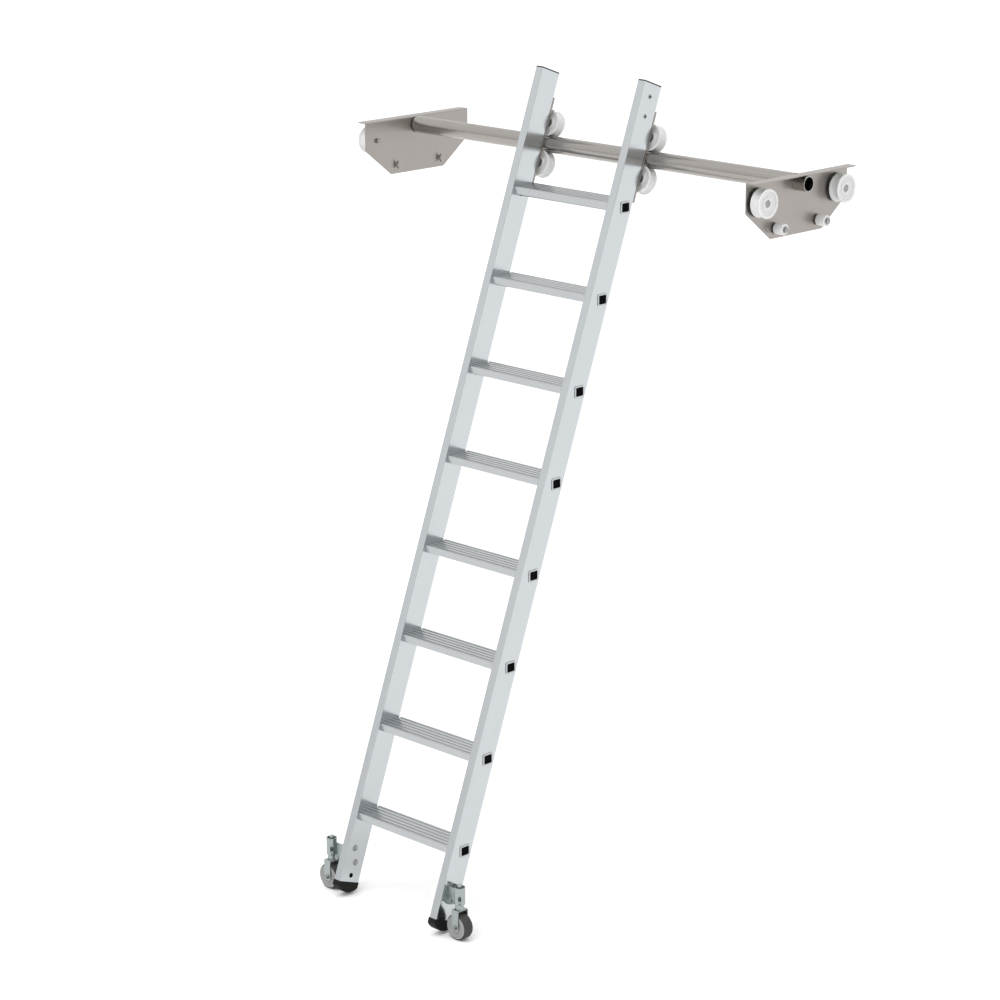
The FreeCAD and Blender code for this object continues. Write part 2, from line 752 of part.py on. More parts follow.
def make_ladder_rollers():
    """Four grooved rollers, two above and two below the tube, with their axles."""
    bolts, spacers, nuts, screws = [], [], [], []
    heights = {"upper": 1, "lower": -1}
    for side, sign in SIDES.items():
        x = f"{sign} * {STILE_X}"
        make_roller_plate(side)
        for level, up in heights.items():
            rise = f"{up} * roller_rise"
            roller = make_roller(f"ladder_roller_{level}_{side}", "roller_rise", "tube_groove")
            lean(roller, x, "0", rise, Z_TO_Y)
            length = f"{HUB_SEAT} - ({PLATE_REAR}) + roller_plate_thick + stile_wall + 6"
            bolt = make_hex_bolt(f"roller_bolt_{level}_{side}", "bolt_head", "bolt_hex",
                                 "bolt_radius", length)
            lean(bolt, x, HUB_SEAT + " + 0.1", rise, Z_TO_Y)
            bolts.append(bolt)
            spacer = turned_piece(f"roller_spacer_{level}_{side}", [
                (f"bolt_radius + {HOLE_SLACK}", PLATE_REAR), ("spacer_radius", PLATE_REAR),
                ("spacer_radius", f"-{HUB_FACE} - 0.3"),
                (f"bolt_radius + {HOLE_SLACK}", f"-{HUB_FACE} - 0.3")])
            lean(spacer, x, "0", rise, Z_TO_Y)
            spacers.append(spacer)
            nut = turned_piece(f"roller_insert_{level}_{side}", [
                (f"bolt_radius + {HOLE_SLACK}", "0"), ("axle_nut_radius - 1", "0"),
                ("axle_nut_radius - 1", "-stile_wall - 0.05"), ("axle_nut_radius", "-stile_wall - 0.05"),
                ("axle_nut_radius", "-axle_nut_length"),
                (f"bolt_radius + {HOLE_SLACK}", "-axle_nut_length")])
            lean(nut, x, STILE_REAR, rise, Z_TO_Y)
            nuts.append(nut)
            screw = turned_piece(f"plate_screw_{level}_{side}", [
                ("0", "-10"), ("3", "-10"), ("3", "0.05"), ("5.5", "0.05"), ("5.2", "1.6"),
                ("3.8", "2.8"), ("0", "3.2")])
            lean(screw, x, PLATE_REAR, f"{up} * plate_screw_rise", Z_TO_Y)
            screws.append(screw)
    group("roller_axle_bolts", bolts)
    group("roller_axle_spacers", spacers)
    group("roller_axle_inserts", nuts)
    group("roller_plate_screws", screws)


# ---------------------------------------------------------------- cross tube

def make_tube():
    """The cross tube, with a thinner stub in each end that passes through the end plate."""
    tube = turned_piece("traverse_tube", [
        ("tube_radius - tube_wall", "-tube_half"), ("tube_radius", "-tube_half"),
        ("tube_radius", "tube_half"), ("tube_radius - tube_wall", "tube_half")])
    place(tube, rotation=Z_TO_X)
    stubs = []
    for side in SIDES:
        stub = turned_piece("tube_stub_" + side, [
            ("stub_radius - stub_wall", "stub_inner_end"), ("stub_radius", "stub_inner_end"),
            ("stub_radius", "stub_outer_end"), ("stub_radius - stub_wall", "stub_outer_end")])
        place(stub, rotation=Z_TO_OUTSIDE[side])
        stubs.append(stub)
    group("tube_stubs", stubs)


# ---------------------------------------------------------------- end plates

def make_end_plate(side):
    """A folded plate: an upright web with bevelled lower corners and a flange on top."""
    sign = SIDES[side]
    body = new_body("end_plate_" + side)
    web = new_sketch(body, "YZ_Plane", f"{sign} * end_inner")
    draw_outline(web, [
        ("-end_half_length", "end_top"), ("-end_half_length", "end_edge"),
        ("-end_bottom_half", "end_bottom"), ("end_bottom_half", "end_bottom"),
        ("end_half_length", "end_edge"), ("end_half_length", "end_top")])
    extrude(body, web, "end_thick", back=sign < 0)
    top = number("end_top")

    def lower_corner(start, end):
        return runs_along("x")(start, end) and start.z < top - 1
    round_edges(body, "end_corner", lower_corner)
    flange = new_sketch(body, "XY_Plane", "end_top - end_thick")
    near = f"{sign} * end_inner"
    far = f"{sign} * (end_inner + end_thick + end_flange)"
    low, high = (near, far) if sign > 0 else (far, near)
    draw_box(flange, low, high, "-end_half_length", "end_half_length")
    extrude(body, flange, "end_thick")
    inner_x = number("end_inner")
    tip_x = number("end_inner + end_thick + end_flange")

    def fold(start, end):
        on_fold = abs(abs(start.x) - inner_x) < 1e-6 and abs(start.z - top) < 1e-6
        return on_fold and runs_along("y")(start, end)
    round_edges(body, "end_thick + 1", fold)

    def flange_tip(start, end):
        return runs_along("z")(start, end) and abs(abs(start.x) - tip_x) < 1e-6
    round_edges(body, "6", flange_tip)
    holes = new_sketch(body, "YZ_Plane", f"{sign} * (end_inner - 1)")
    draw_circle(holes, "0", "0", "stub_radius + stub_clearance")
    for end in ENDS.values():
        draw_circle(holes, f"{end} * rail_roller_y", "rail_roller_z", f"bolt_radius + {HOLE_SLACK}")
        draw_circle(holes, f"{end} * guide_roller_y", "guide_roller_z",
                    f"guide_bolt_radius + {HOLE_SLACK}")
    cut(body, holes, "end_thick + 2", back=sign > 0)
    place(body)


RAIL_ROLLER_X = "(end_inner + end_thick + rail_roller_gap + roller_width / 2)"
GUIDE_ROLLER_X = "(end_inner + end_thick + guide_roller_gap)"


def make_rail_roller(side, end):
    """A grooved roller that runs on a round rail, with its bolt, spacer and nut."""
    sign = SIDES[side]
    name = f"{side}_{end}"
    outward = Z_TO_OUTSIDE[side]
    y = f"{ENDS[end]} * rail_roller_y"
    roller = make_roller("rail_roller_" + name, "rail_groove_bottom + rail_groove", "rail_groove")
    place(roller, f"{sign} * {RAIL_ROLLER_X}", y, "rail_roller_z", outward)
    length = f"{RAIL_ROLLER_X} + {HUB_SEAT} - end_inner + rail_nut + bolt_end"
    bolt = make_hex_bolt("rail_bolt_" + name, "bolt_head", "bolt_hex", "bolt_radius", length)
    place(bolt, f"{sign} * ({RAIL_ROLLER_X} + {HUB_SEAT} + 0.1)", y, "rail_roller_z", outward)
    web_face = "(end_inner + end_thick)"
    spacer = turned_piece("rail_spacer_" + name, [
        (f"bolt_radius + {HOLE_SLACK}", web_face), ("spacer_radius - 1", web_face),
        ("spacer_radius - 1", f"{RAIL_ROLLER_X} - {HUB_FACE} - 0.3"),
        (f"bolt_radius + {HOLE_SLACK}", f"{RAIL_ROLLER_X} - {HUB_FACE} - 0.3")])
    place(spacer, "0", y, "rail_roller_z", outward)
    nut = make_hex_nut("rail_nut_" + name, "rail_nut", "bolt_hex", f"bolt_radius + {HOLE_SLACK}")
    place(nut, f"{sign} * (end_inner - rail_nut)", y, "rail_roller_z", outward)
    return bolt, spacer, nut


def make_wing_nut(label):
    """A wing nut on the Z axis, from Z 0 up: a tapered hub and two flared wings."""
    body = turned_piece(label, [
        (f"guide_bolt_radius + {HOLE_SLACK}", "0"), ("wing_hub_radius", "0"),
        ("wing_hub_radius - 1.5", "wing_hub_length"),
        (f"guide_bolt_radius + {HOLE_SLACK}", "wing_hub_length")])
    for sign in (-1, 1):
        wing = new_sketch(body, "XZ_Plane")
        draw_outline(wing, [
            (f"{sign} * (wing_hub_radius - 2)", "2"),
            (f"{sign} * (wing_span / 2 - 2)", "wing_reach - 5.5"),
            (f"{sign} * wing_span / 2", "wing_reach - 3"),
            (f"{sign} * (wing_span / 2 - 1.5)", "wing_reach"),
            (f"{sign} * (wing_span / 2 - 4)", "wing_reach - 0.8"),
            (f"{sign} * (wing_hub_radius - 1.8)", "wing_hub_length - 1")])
        extrude(body, wing, "wing_thick", middle=True)
    return body


def make_guide_roller(side, end):
    """A small plain roller that runs under the rail, on a bolt held by a wing nut."""
    sign = SIDES[side]
    name = f"{side}_{end}"
    outward = Z_TO_OUTSIDE[side]
    y = f"{ENDS[end]} * guide_roller_y"
    roller = turned_piece("guide_roller_" + name, [
        ("guide_bore_radius", "0"), ("guide_roller_radius - 1", "0"), ("guide_roller_radius", "1"),
        ("guide_roller_radius", "guide_roller_length - 1"),
        ("guide_roller_radius - 1", "guide_roller_length"),
        ("guide_bore_radius", "guide_roller_length")])
    place(roller, f"{sign} * {GUIDE_ROLLER_X}", y, "guide_roller_z", outward)
    head_x = f"({GUIDE_ROLLER_X} + guide_roller_length + 0.3)"
    shank = f"{head_x} - end_inner + wing_hub_length + bolt_end"
    bolt = make_hex_bolt("guide_bolt_" + name, "guide_head", "guide_hex", "guide_bolt_radius",
                         shank)
    collar = new_sketch(bolt, "XY_Plane", f"-({head_x} - end_inner - end_thick)")
    draw_circle(collar, "0", "0", "guide_bolt_radius + 3")
    extrude(bolt, collar, "guide_roller_gap - 0.3")
    place(bolt, f"{sign} * {head_x}", y, "guide_roller_z", outward)
    wing_nut = make_wing_nut("wing_nut_" + name)
    inward = Z_TO_OUTSIDE["left" if side == "right" else "right"]
    place(wing_nut, f"{sign} * end_inner", y, "guide_roller_z", inward)
    return bolt, wing_nut


def make_end_rollers():
    bolts, spacers, nuts, guide_bolts, wing_nuts = [], [], [], [], []
    for side in SIDES:
        for end in ENDS:
            bolt, spacer, nut = make_rail_roller(side, end)
            bolts.append(bolt)
            spacers.append(spacer)
            nuts.append(nut)
            guide_bolt, wing_nut = make_guide_roller(side, end)
            guide_bolts.append(guide_bolt)
            wing_nuts.append(wing_nut)
    group("rail_roller_bolts", bolts)
    group("rail_roller_spacers", spacers)
    group("rail_roller_nuts", nuts)
    group("guide_roller_bolts", guide_bolts)
    group("wing_nuts", wing_nuts)


# ---------------------------------------------------------------- sprung castors

SLOT_TURN = FreeCAD.Rotation(FreeCAD.Vector(0, 0, 1), 45)


def make_housing(side):
    """The castor's upright tube: a guide floor, a cap below its rim and two long slots."""
    body = turned_piece("castor_housing_" + side, [
        ("stem_bore", "housing_low"), ("housing_radius - 2", "housing_low"),
        ("housing_radius", "housing_low + 2"), ("housing_radius", "housing_high"),
        ("housing_radius - housing_wall", "housing_high"),
        ("housing_radius - housing_wall", "housing_cap_high"), ("rod_bore", "housing_cap_high"),
        ("rod_bore", "housing_cap_low"), ("housing_radius - housing_wall", "housing_cap_low"),
        ("housing_radius - housing_wall", "housing_low + housing_floor"),
        ("stem_bore", "housing_low + housing_floor")])
    slot = new_sketch(body, "XZ_Plane")
    draw_box(slot, "-slot_width / 2", "slot_width / 2", "slot_low", "slot_high")
    cut(body, slot, "3 * housing_radius", middle=True)
    radius = number("slot_width") / 2
    low, high = number("slot_low"), number("slot_high")

    def slot_corner(start, end):
        across = abs(abs(start.x) - radius) < 1e-4 and abs(abs(end.x) - radius) < 1e-4
        level = min(abs(start.z - low), abs(start.z - high)) < 1e-4
        return across and level and abs(start.z - end.z) < 1e-4 and abs(start.x - end.x) < 1e-4
    round_edges(body, "slot_width / 2 - 0.2", slot_corner)
    drain = new_sketch(body, "XZ_Plane")
    draw_circle(drain, "0", "drain_rise", "drain_radius")
    cut(body, drain, "2 * housing_radius", back=True)
    place(body, f"{SIDES[side]} * castor_x", "castor_y", "floor_z", SLOT_TURN)


def make_stem(side):
    """The sliding stem: a thick foot, a rod through the cap, a dome nut and a cross pin."""
    body = turned_piece("castor_stem_" + side, [
        ("0", "crown_rise + 0.05"), ("stem_radius", "crown_rise + 0.05"),
        ("stem_radius", "spring_low - 0.4"), ("rod_radius", "spring_low - 0.4"),
        ("rod_radius", "housing_cap_high + 0.3"), ("dome_radius", "housing_cap_high + 0.3"),
        ("dome_radius", "housing_cap_high + 6"), ("dome_radius - 0.8", "housing_cap_high + 10"),
        ("dome_radius - 3", "housing_cap_high + 13"), ("0", "housing_cap_high + 14.5")])
    pin = new_sketch(body, "XZ_Plane")
    draw_circle(pin, "0", "pin_rise", "pin_radius")
    extrude(body, pin, "2 * (housing_radius - 0.5)", middle=True)
    place(body, f"{SIDES[side]} * castor_x", "castor_y", "floor_z", SLOT_TURN)


SPRING_TURNS = 4.5
# the helix mode that keeps the pitch and the height, and works out the turns
PITCH_AND_HEIGHT = 0


def make_spring(side):
    """The compression spring between the stem's shoulder and the housing's cap."""
    body = new_body("castor_spring_" + side)
    low = "spring_low + spring_wire"
    height = "housing_cap_low - 0.2 - spring_wire - (spring_low + spring_wire)"
    section = new_sketch(body, "XZ_Plane")
    draw_circle(section, "spring_radius", low, "spring_wire")
    coil = body.newObject("PartDesign::AdditiveHelix", body.Name + "_coil")
    coil.Profile = section
    coil.ReferenceAxis = (section, ["V_Axis"])
    coil.Mode = PITCH_AND_HEIGHT
    coil.setExpression("Pitch", sized(f"({height}) / {SPRING_TURNS}"))
    coil.setExpression("Height", sized(height))
    finish_feature(coil)
    place(body, f"{SIDES[side]} * castor_x", "castor_y", "floor_z")


def make_fork(side):
    """A folded fork: a crown under the stem and two legs that end round the axle."""
    body = new_body("castor_fork_" + side)
    arch = new_sketch(body, "YZ_Plane")
    half = "fork_length / 2"
    low = "wheel_radius - fork_below"
    draw_outline(arch, [
        (f"-{half}", low), (f"-{half}", "crown_rise"), (half, "crown_rise"), (half, low),
        (f"{half} - fork_sheet", low), (f"{half} - fork_sheet", "crown_rise - fork_sheet"),
        (f"fork_sheet - {half}", "crown_rise - fork_sheet"), (f"fork_sheet - {half}", low)])
    extrude(body, arch, "fork_width", middle=True)
    top = number("crown_rise")
    bottom = number(low)

    def crown_fold(start, end):
        return runs_along("x")(start, end) and abs(start.z - top) < 1e-6
    round_edges(body, "fork_bend", crown_fold)

    def leg_corner(start, end):
        return runs_along("y")(start, end) and abs(start.z - bottom) < 1e-6
    round_edges(body, "fork_below - 1", leg_corner)
    axle_hole = new_sketch(body, "XZ_Plane")
    draw_circle(axle_hole, "0", "wheel_radius", f"castor_bolt_radius + {HOLE_SLACK}")
    cut(body, axle_hole, "2 * fork_length", middle=True)
    place(body, f"{SIDES[side]} * castor_x", "castor_y", "floor_z")


def make_castor_axle(side):
    """The axle bolt with its head behind the fork and its nut in front."""
    leg = "(fork_length / 2 + 0.05)"
    body = make_hex_bolt("castor_axle_" + side, "castor_head", "castor_hex", "castor_bolt_radius",
                         f"2 * {leg} + castor_nut + bolt_end / 2")
    nut = new_sketch(body, "XY_Plane", f"-2 * {leg}")
    draw_hexagon(nut, "0", "0", "castor_hex")
    extrude(body, nut, "castor_nut", back=True)
    place(body, f"{SIDES[side]} * castor_x", f"castor_y + {leg}", "floor_z + wheel_radius", Z_TO_Y)


def make_wheel(side):
    """A ribbed plastic hub with a rubber tyre round it."""
    half = "wheel_width / 2"
    hub = turned_piece("castor_hub_" + side, [
        ("castor_bore_radius", f"-{half} - 0.4"), ("9", f"-{half} - 0.4"), ("10", f"-{half} + 3"),
        ("20", f"-{half} + 5"), ("23", f"-{half} + 2"), ("tyre_inner - 0.1", f"-{half} + 2"),
        ("tyre_inner - 0.1", f"{half} - 2"), ("23", f"{half} - 2"), ("20", f"{half} - 5"),
        ("10", f"{half} - 3"), ("9", f"{half} + 0.4"), ("castor_bore_radius", f"{half} + 0.4")])
    tyre = turned_piece("castor_tyre_" + side, [
        ("tyre_inner", f"-{half} + 1"), ("tyre_inner + 2", f"-{half}"), ("wheel_radius - 4", f"-{half}"),
        ("wheel_radius - 1.2", f"-{half} + 1.5"), ("wheel_radius", f"-{half} + 5"),
        ("wheel_radius", f"{half} - 5"), ("wheel_radius - 1.2", f"{half} - 1.5"),
        ("wheel_radius - 4", half), ("tyre_inner + 2", half), ("tyre_inner", f"{half} - 1")])
    for piece in (hub, tyre):
        place(piece, f"{SIDES[side]} * castor_x", "castor_y", "floor_z + wheel_radius", Z_TO_Y)


def make_bracket(side):
    """A folded channel on the stile's outer face whose front leg carries the housing."""
    sign = SIDES[side]
    body = new_body("castor_bracket_" + side)
    face = "ladder_width / 2"
    web = new_sketch(body, "YZ_Plane", f"{sign} * {face}")
    slant = "(bracket_high - flange_low) * tan(lean_angle)"
    draw_outline(web, [
        ("bracket_front", "bracket_low"), ("bracket_front", "flange_low"),
        (f"web_front - {slant}", "flange_low"), ("web_front", "bracket_high"),
        ("bracket_rear", "bracket_high"), ("bracket_rear", "bracket_low")])
    extrude(body, web, "bracket_sheet", back=sign < 0)
    near = f"{sign} * ({face} + bracket_sheet - 0.5)"
    front_leg = new_sketch(body, "XZ_Plane", "-bracket_front")
    draw_outline(front_leg, [
        (near, "bracket_low"), (near, "bracket_high"),
        (f"{sign} * castor_x", "bracket_high - 1"), (f"{sign} * castor_x", "front_leg_low"),
        (f"{sign} * (castor_x - housing_radius - 4)", "front_leg_low")])
    draw_circle(front_leg, f"{sign} * leg_hole_x", "leg_hole_rise", "leg_hole_radius")
    extrude(body, front_leg, "bracket_sheet", back=True)
    rear_leg = new_sketch(body, "XZ_Plane", "-bracket_rear")
    far = f"{sign} * ({face} + rear_leg_reach)"
    draw_outline(rear_leg, [
        (near, "bracket_low"), (near, "bracket_high"), (far, "bracket_high"), (far, "flange_low")])
    extrude(body, rear_leg, "bracket_sheet")
    ring = new_sketch(body, "XY_Plane", "bracket_low - 1")
    draw_circle(ring, f"{sign} * castor_x", "0", "housing_radius + 0.05")
    cut(body, ring, "bracket_high - bracket_low + 2", back=True)
    holes = new_sketch(body, "YZ_Plane", f"{sign} * ({face} - 1)")
    for rise in BRACKET_BOLT_RISES:
        draw_circle(holes, "bracket_bolt_y", rise, f"bracket_bolt_radius + {HOLE_SLACK}")
    cut(body, holes, "bracket_sheet + 2", back=sign > 0)
    place(body, "0", "castor_y", "floor_z")


def make_bracket_bolts():
    """Bolts through the whole stile: a dished cup in the inner wall and a nut on the bracket."""
    bolts = []
    end = "-(stile_width + bracket_sheet + bracket_nut + bolt_end / 2)"
    for side, sign in SIDES.items():
        inward = Z_TO_OUTSIDE["left" if side == "right" else "right"]
        for i, rise in enumerate(BRACKET_BOLT_RISES):
            y, z = "castor_y + bracket_bolt_y", f"floor_z + {rise}"
            bolt = turned_piece(f"bracket_bolt_{side}_{i}", [
                ("0", "-bolt_cup_dish"), ("bolt_cup_radius / 3", "-bolt_cup_dish"),
                ("bolt_cup_radius - 1.6", "0.4"), ("bolt_cup_radius", "0.4"),
                ("bolt_cup_radius", "0.05"), ("bolt_cup_radius - 1", "0.05"),
                ("bolt_cup_radius - 1", "-2 * bolt_cup_dish"),
                ("bracket_bolt_radius", "-2 * bolt_cup_dish"), ("bracket_bolt_radius", end), ("0", end)])
            place(bolt, f"{sign} * (ladder_width / 2 - stile_width)", y, z, inward)
            bolts.append(bolt)
            nut = make_hex_nut(f"bracket_nut_{side}_{i}", "bracket_nut", "bracket_hex",
                               f"bracket_bolt_radius + {HOLE_SLACK}")
            place(nut, f"{sign} * (ladder_width / 2 + bracket_sheet)", y, z, Z_TO_OUTSIDE[side])
            bolts.append(nut)
    group("bracket_bolts", bolts)


# ---------------------------------------------------------------- the whole ladder

for side in SIDES:
    make_stile(side)
make_rung_plugs([make_step(step) for step in range(1, STEP_COUNT + 1)])
make_end_caps()
for side in SIDES:
    make_foot(side)
make_foot_pins()
make_rivet_nuts()
make_ladder_rollers()
make_tube()
for side in SIDES:
    make_end_plate(side)
make_end_rollers()
for side in SIDES:
    make_housing(side)
    make_stem(side)
    make_spring(side)
    make_fork(side)
    make_castor_axle(side)
    make_wheel(side)
    make_bracket(side)
make_bracket_bolts()
doc.recompute()

# ---------------------------------------------------------------- checks and files

for thing in doc.Objects:
    if "Invalid" in thing.State or "Error" in thing.State:
        raise RuntimeError(f"{thing.Label} failed: {thing.State}")
faulty = [label for label, thing in finished.items()
          if thing.Shape.isNull() or not thing.Shape.isValid() or not thing.Shape.Solids]
if faulty:
    raise RuntimeError("no valid solid: " + ", ".join(faulty))

os.makedirs("parts", exist_ok=True)
for old in os.listdir("parts"):
    os.remove(os.path.join("parts", old))
for label, thing in finished.items():
    thing.Shape.exportStep(f"parts/{label}.step")
print(len(finished), "nodes written")
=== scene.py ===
import json
import math

import bmesh
import bpy
from mathutils import Matrix, Vector


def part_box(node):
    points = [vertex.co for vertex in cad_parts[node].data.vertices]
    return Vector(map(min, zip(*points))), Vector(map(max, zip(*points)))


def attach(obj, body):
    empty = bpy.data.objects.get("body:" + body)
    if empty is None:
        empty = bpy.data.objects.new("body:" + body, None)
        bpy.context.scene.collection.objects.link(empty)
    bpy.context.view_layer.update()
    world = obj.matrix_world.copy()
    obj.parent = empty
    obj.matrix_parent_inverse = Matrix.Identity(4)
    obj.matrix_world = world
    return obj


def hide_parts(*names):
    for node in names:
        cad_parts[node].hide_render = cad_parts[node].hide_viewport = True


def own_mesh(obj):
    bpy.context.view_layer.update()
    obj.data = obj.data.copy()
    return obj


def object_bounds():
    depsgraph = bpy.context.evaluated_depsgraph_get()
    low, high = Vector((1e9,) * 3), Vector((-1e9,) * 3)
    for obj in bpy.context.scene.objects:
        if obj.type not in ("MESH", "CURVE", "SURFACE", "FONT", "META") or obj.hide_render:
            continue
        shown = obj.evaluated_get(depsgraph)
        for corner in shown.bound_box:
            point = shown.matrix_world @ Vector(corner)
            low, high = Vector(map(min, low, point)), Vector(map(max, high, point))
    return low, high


# The ladder's looks. Axes as in the CAD: X along the cross tube, +Y away from the
# climber, +Z up, metres. The stiles lean by LEAN from the upright.

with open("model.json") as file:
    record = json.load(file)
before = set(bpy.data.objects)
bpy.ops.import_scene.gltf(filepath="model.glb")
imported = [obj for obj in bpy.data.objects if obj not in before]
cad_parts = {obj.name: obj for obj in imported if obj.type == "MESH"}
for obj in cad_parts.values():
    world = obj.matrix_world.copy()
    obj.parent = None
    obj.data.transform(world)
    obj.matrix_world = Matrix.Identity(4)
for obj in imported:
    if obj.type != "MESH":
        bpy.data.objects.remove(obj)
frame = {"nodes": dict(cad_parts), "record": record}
cad_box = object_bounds()

MM = 0.001
LEAN = math.radians(20.2)
# points nearer than this are one point
WELD = 0.002 * MM
LATHE_WELD = 0.0005 * MM
# faces that turn by less than this are one face
FLAT = math.radians(0.6)
# the range that a noise value mostly keeps to
NOISE_LOW, NOISE_HIGH = 0.3, 0.7
STEP_COUNT = 8
SIDES = {"left": -1, "right": 1}
ENDS = {"front": -1, "rear": 1}
X, Y, Z = Vector((1, 0, 0)), Vector((0, 1, 0)), Vector((0, 0, 1))
ACROSS_STILE = Vector((0, math.cos(LEAN), -math.sin(LEAN)))


# ---------------------------------------------------------------- material helpers

def new_material(name, colour, roughness, metallic=0.0):
    """A material with a Principled shader, and helpers to add to it."""
    material = bpy.data.materials.new(name)
    material.use_nodes = True
    shader = material.node_tree.nodes["Principled BSDF"]
    shader.inputs["Base Color"].default_value = (*colour, 1)
    shader.inputs["Roughness"].default_value = roughness
    shader.inputs["Metallic"].default_value = metallic
    return material, shader


def add_node(material, kind, **values):
    node = material.node_tree.nodes.new(kind)
    for key, value in values.items():
        if key in node.inputs:
            node.inputs[key].default_value = value
        else:
            setattr(node, key, value)
    return node


def join(material, output, target):
    material.node_tree.links.new(output, target)


def object_space(material, scale=(1, 1, 1), turn=0.0):
    """Coordinates in metres that ride with the part, turned about X and then scaled."""
    place = add_node(material, "ShaderNodeTexCoord")
    turned = add_node(material, "ShaderNodeMapping")
    turned.inputs["Rotation"].default_value = (turn, 0, 0)
    scaled = add_node(material, "ShaderNodeMapping")
    scaled.inputs["Scale"].default_value = scale
    join(material, place.outputs["Object"], turned.inputs["Vector"])
    join(material, turned.outputs["Vector"], scaled.inputs["Vector"])
    return scaled.outputs["Vector"]


def noise(material, vector, scale, detail=4.0, roughness=0.6):
    node = add_node(material, "ShaderNodeTexNoise", Scale=scale, Detail=detail, Roughness=roughness)
    join(material, vector, node.inputs["Vector"])
    return node.outputs["Fac"]


def spread(material, value, low, high):
    """Maps a noise value to the range low to high."""
    node = add_node(material, "ShaderNodeMapRange")
    node.inputs["From Min"].default_value = NOISE_LOW
    node.inputs["From Max"].default_value = NOISE_HIGH
    node.inputs["To Min"].default_value = low
    node.inputs["To Max"].default_value = high
    join(material, value, node.inputs["Value"])
    return node.outputs["Result"]


def tint(material, value, dark, light):
    """Mixes two colours by a noise value."""
    node = add_node(material, "ShaderNodeValToRGB")
    node.color_ramp.elements[0].position = NOISE_LOW
    node.color_ramp.elements[0].color = (*dark, 1)
    node.color_ramp.elements[1].position = NOISE_HIGH
    node.color_ramp.elements[1].color = (*light, 1)
    join(material, value, node.inputs["Fac"])
    return node.outputs["Color"]


def shade(colour, factor):
    return tuple(min(1.0, c * factor) for c in colour)


def emboss(material, shader, value, depth):
    bump = add_node(material, "ShaderNodeBump", Strength=1.0, Distance=depth)
    join(material, value, bump.inputs["Height"])
    join(material, bump.outputs["Normal"], shader.inputs["Normal"])


def brushed_metal(name, colour, roughness, scale, contrast, depth, turn=0.0):
    """Metal with fine lines: scale is low along the lines and high across them."""
    material, shader = new_material(name, colour, roughness, metallic=1.0)
    streaks = noise(material, object_space(material, scale, turn), 1.0, detail=6.0, roughness=0.7)
    clouds = noise(material, object_space(material), 9.0, detail=3.0)
    join(material, tint(material, clouds, shade(colour, 1 - contrast), shade(colour, 1 + contrast)),
         shader.inputs["Base Color"])
    join(material, spread(material, streaks, roughness - 0.05, roughness + 0.06),
         shader.inputs["Roughness"])
    emboss(material, shader, streaks, depth)
    return material


def plated_metal(name, colour, roughness, spangle=220.0):
    """Zinc plate: soft blotches in both colour and gloss."""
    material, shader = new_material(name, colour, roughness, metallic=1.0)
    vector = object_space(material)
    blotches = noise(material, vector, spangle, detail=5.0)
    join(material, tint(material, blotches, shade(colour, 0.93), shade(colour, 1.06)),
         shader.inputs["Base Color"])
    join(material, spread(material, noise(material, vector, spangle * 3), roughness - 0.06,
                          roughness + 0.08), shader.inputs["Roughness"])
    emboss(material, shader, blotches, 0.00002)
    return material


def moulded(name, colour, roughness, grain=2600.0, depth=0.00004, mottle=0.04, shine=0.5):
    """Moulded plastic or rubber with a fine grain."""
    material, shader = new_material(name, colour, roughness)
    shader.inputs["Specular IOR Level"].default_value = shine
    vector = object_space(material)
    clouds = noise(material, vector, 60.0)
    join(material, tint(material, clouds, shade(colour, 1 - mottle), shade(colour, 1 + mottle)),
         shader.inputs["Base Color"])
    fine = noise(material, vector, grain, detail=2.0)
    join(material, spread(material, fine, roughness - 0.05, roughness + 0.05),
         shader.inputs["Roughness"])
    emboss(material, shader, fine, depth)
    return material, shader


# ---------------------------------------------------------------- materials

def stile_material():
    """Satin aluminium with drawing lines along the stile."""
    return brushed_metal("stile_aluminium", (0.495, 0.520, 0.537), 0.17, (900, 900, 3),
                         contrast=0.01, depth=0.000002, turn=LEAN)


def step_material():
    return brushed_metal("step_aluminium", (0.43, 0.445, 0.455), 0.26, (3, 900, 900),
                         contrast=0.015, depth=0.000004)


def plate_material():
    return brushed_metal("plate_stainless", (0.336, 0.311, 0.294), 0.33, (700, 4, 700),
                         contrast=0.015, depth=0.000003)


def tube_material():
    return brushed_metal("tube_stainless", (0.333, 0.314, 0.296), 0.24, (3, 700, 700),
                         contrast=0.02, depth=0.000004)


def zinc_material():
    return plated_metal("castor_zinc", (0.335, 0.372, 0.370), 0.34)


def bright_steel_material():
    return plated_metal("fastener_zinc", (0.30, 0.305, 0.305), 0.30, 500.0)


def dark_steel_material():
    return plated_metal("fastener_dark", (0.27, 0.268, 0.265), 0.38, 500.0)


def white_plastic_material():
    """Natural polyamide: white, waxy and a little translucent."""
    material, shader = moulded("white_polyamide", (0.62, 0.624, 0.62), 0.42, mottle=0.02)
    shader.inputs["Subsurface Weight"].default_value = 0.65
    shader.inputs["Subsurface Radius"].default_value = (0.006, 0.006, 0.0055)
    shader.inputs["Subsurface Scale"].default_value = 1.0
    return material


def simple_moulded(name, colour, roughness, **detail):
    return moulded(name, colour, roughness, **detail)[0]


